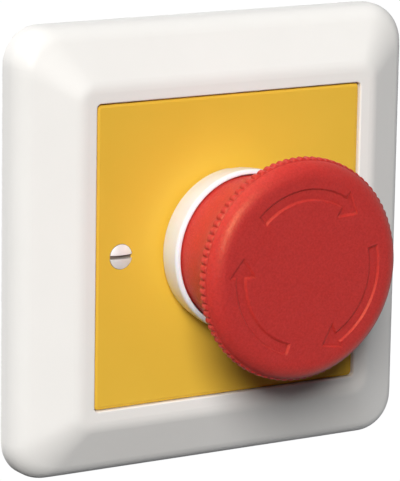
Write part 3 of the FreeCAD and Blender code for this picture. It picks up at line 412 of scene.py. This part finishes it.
# The mounting sleeve, its ring nut and the adaptor behind them are black glass-filled nylon. The
# nut pulls the sleeve and collar onto the plate, and the adaptor is locked on with set screws.
# Glass fibres near the skin give a dull surface with faint streaks, four times as long as wide.
black_nylon, tree, shader, place = finish("black_glass_filled_nylon_moulding")
stretched = node(tree, "Mapping", {}, {
    "Vector": place, "Scale": (1.0, 0.25, 1.0)}).outputs["Vector"]
colour_drift(tree, shader, stretched, "202123", "2F3032", size=0.0009, detail=5.0)
gloss_drift(tree, shader, stretched, low=0.42, high=0.6, size=0.0007)
relief(tree, shader, stretched, deep=0.000008, edge=0.00015, size=0.0005)
dress(black_nylon, "mounting_sleeve", "ring_nut", "contact_adaptor")


# The sleeve's barrel has a thread of 1 mm pitch, moulded in one with it in the same black nylon,
# which takes the ring nut. It shows as fine ribs between the nut and the adaptor.
def skin(name, points, material, body):
    """A mesh from a grid of points, closed along its second axis. Each end is closed by a fan
    from the mean of its points."""
    rows, columns = points.shape[:2]
    middles = points.mean(axis=1)
    corners = np.concatenate([points.reshape(-1, 3), middles[[0, -1]]])
    row, column = np.meshgrid(np.arange(rows - 1), np.arange(columns), indexing="ij")
    this_row, next_row = row * columns, (row + 1) * columns
    after = (column + 1) % columns
    quads = np.stack([this_row + column, this_row + after,
                      next_row + after, next_row + column], axis=-1).reshape(-1, 4)
    ring = np.arange(columns)
    following = (ring + 1) % columns
    last_row = (rows - 1) * columns
    start_middle = np.full(columns, rows * columns)
    end_middle = start_middle + 1
    start_cap = np.stack([start_middle, following, ring], axis=-1)
    end_cap = np.stack([end_middle, last_row + ring, last_row + following], axis=-1)
    mesh = bpy.data.meshes.new(name)
    mesh.from_pydata(corners.tolist(), [], quads.tolist() + start_cap.tolist() + end_cap.tolist())
    mesh.materials.append(material)
    mesh.shade_smooth()
    made = bpy.data.objects.new(name, mesh)
    bpy.context.scene.collection.objects.link(made)
    solid = bmesh.new()
    solid.from_mesh(mesh)
    bmesh.ops.recalc_face_normals(solid, faces=solid.faces)
    solid.to_mesh(mesh)
    solid.free()
    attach(made, body)
    return made


steps_per_turn = 48


def wound(radius, turns, low, high, section, x=0.0):
    """Points of a section carried round a helix about -Y. The centre line is at radius, and rises
    evenly from low to high in front of the wall. The section's first number goes outwards and its
    second along the axis."""
    angle = np.linspace(0.0, 2 * np.pi * turns, int(turns * steps_per_turn) + 1)[:, None]
    out = radius + section[None, :, 0]
    ahead = low + (high - low) * angle / angle[-1] + section[None, :, 1]
    return np.stack([x + out * np.cos(angle), -ahead, out * np.sin(angle)], axis=-1)


thread_root = 0.01095
thread_tall = 0.00032
thread_root_half = 0.00042
thread_crest_half = 0.0001
thread_pitch = 0.001
thread_low = -0.0026
thread_high = 0.0022
thread_turns = (thread_high - thread_low) / thread_pitch
thread_shape = np.array([(0.0, -thread_root_half), (0.0, thread_root_half),
                         (thread_tall, thread_crest_half), (thread_tall, -thread_crest_half)])
thread_points = wound(thread_root, thread_turns, thread_low, thread_high, thread_shape)
thread = skin("sleeve_thread", thread_points, black_nylon, "housing")


# The plunger, thrust bar and contact carriages are unfilled acetal, which slides well. Moulded
# acetal is slightly waxy: it has a low even sheen and lets some light in.
acetal, tree, shader, place = finish("natural_acetal_moulding")
colour_drift(tree, shader, place, "ECE8DC", "E6E1D3", size=0.005)
gloss_drift(tree, shader, place, low=0.3, high=0.4, size=0.001)
shader.inputs["Subsurface Weight"].default_value = 0.1
shader.inputs["Subsurface Scale"].default_value = 0.001
relief(tree, shader, place, deep=0.000004, edge=0.00015, size=0.0006)
dress(acetal, "plunger", "thrust_bar", "contact_carriage_left", "contact_carriage_right")


# The springs, the latch wire and the rod's clip are drawn spring steel with an oiled surface.
# Drawing leaves fine marks about 0.2 mm wide and an uneven shine, and the coils are round wire.
spring_steel, tree, shader, place = finish("oiled_drawn_spring_steel")
colour_drift(tree, shader, place, "8D8E90", "A9AAAB", size=0.0008, detail=4.0)
shader.inputs["Metallic"].default_value = 1.0
gloss_drift(tree, shader, place, low=0.22, high=0.38, size=0.0003)
relief(tree, shader, place, deep=0.000002, edge=0.00005, size=0.0002)
dress(spring_steel, "latch_wire", "rod_clip")

wire_sides = 12
round_the_wire = np.linspace(0.0, 2 * np.pi, wire_sides, endpoint=False)
round_wire = np.stack([np.cos(round_the_wire), np.sin(round_the_wire)], axis=-1)


def spring(name, body, radius, wire, turns, low, high, x=0.0):
    """Wire of this diameter wound between two heights in front of the wall, in place of the CAD
    node of that name. Its section is a circle, cosine outwards and sine along the axis."""
    points = wound(radius, turns, low + wire / 2, high - wire / 2, round_wire * wire / 2, x)
    made = skin(name + "_wire", points, spring_steel, body)
    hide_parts(name)
    return made


return_coil_radius = 0.0072
return_wire_thick = 0.0011
return_turns = 4.0
return_low = -0.0075
return_high = 0.004
return_wire = spring("return_spring", "housing", return_coil_radius, return_wire_thick,
                     return_turns, return_low, return_high)
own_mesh(return_wire)

twist_coil_radius = 0.0072
twist_wire_thick = 0.0009
twist_turns = 4.0
twist_low = 0.0187
twist_high = 0.027
spring("twist_spring", "plunger", twist_coil_radius, twist_wire_thick, twist_turns,
       twist_low, twist_high)

block_x = 0.0072
contact_coil_radius = 0.0021
contact_wire_thick = 0.0005
contact_turns = 5.0
contact_low = -0.0382
contact_high = -0.0266
for hand, side in (("left", -1), ("right", 1)):
    made = spring("contact_spring_" + hand, "housing", contact_coil_radius, contact_wire_thick,
                  contact_turns, contact_low, contact_high, side * block_x)
    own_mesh(made)


# The contact blocks' cases are light grey nylon, snapped onto the adaptor. Their moulded skin is
# dry and fine, with 0.4 mm grain and a little gloss that comes and goes.
grey_nylon, tree, shader, place = finish("grey_nylon_moulding")
colour_drift(tree, shader, place, "A9ABAC", "A2A4A5", size=0.004)
gloss_drift(tree, shader, place, low=0.36, high=0.48, size=0.0008)
relief(tree, shader, place, deep=0.000006, edge=0.00015, size=0.0004)
dress(grey_nylon, "contact_housing_left", "contact_housing_right")


# The fixed contacts and the bridges are stamped from copper alloy strip. They are slightly
# tarnished, in darker stains about 1.5 mm wide, and shine unevenly.
copper, tree, shader, place = finish("stamped_copper_alloy")
colour_drift(tree, shader, place, "C98A5E", "B4764C", size=0.0015, detail=5.0)
shader.inputs["Metallic"].default_value = 1.0
gloss_drift(tree, shader, place, low=0.24, high=0.42, size=0.0007)
relief(tree, shader, place, deep=0.000004, edge=0.00005, size=0.0004)
dress(copper, "fixed_contacts_left", "fixed_contacts_right",
      "contact_bridge_left", "contact_bridge_right")
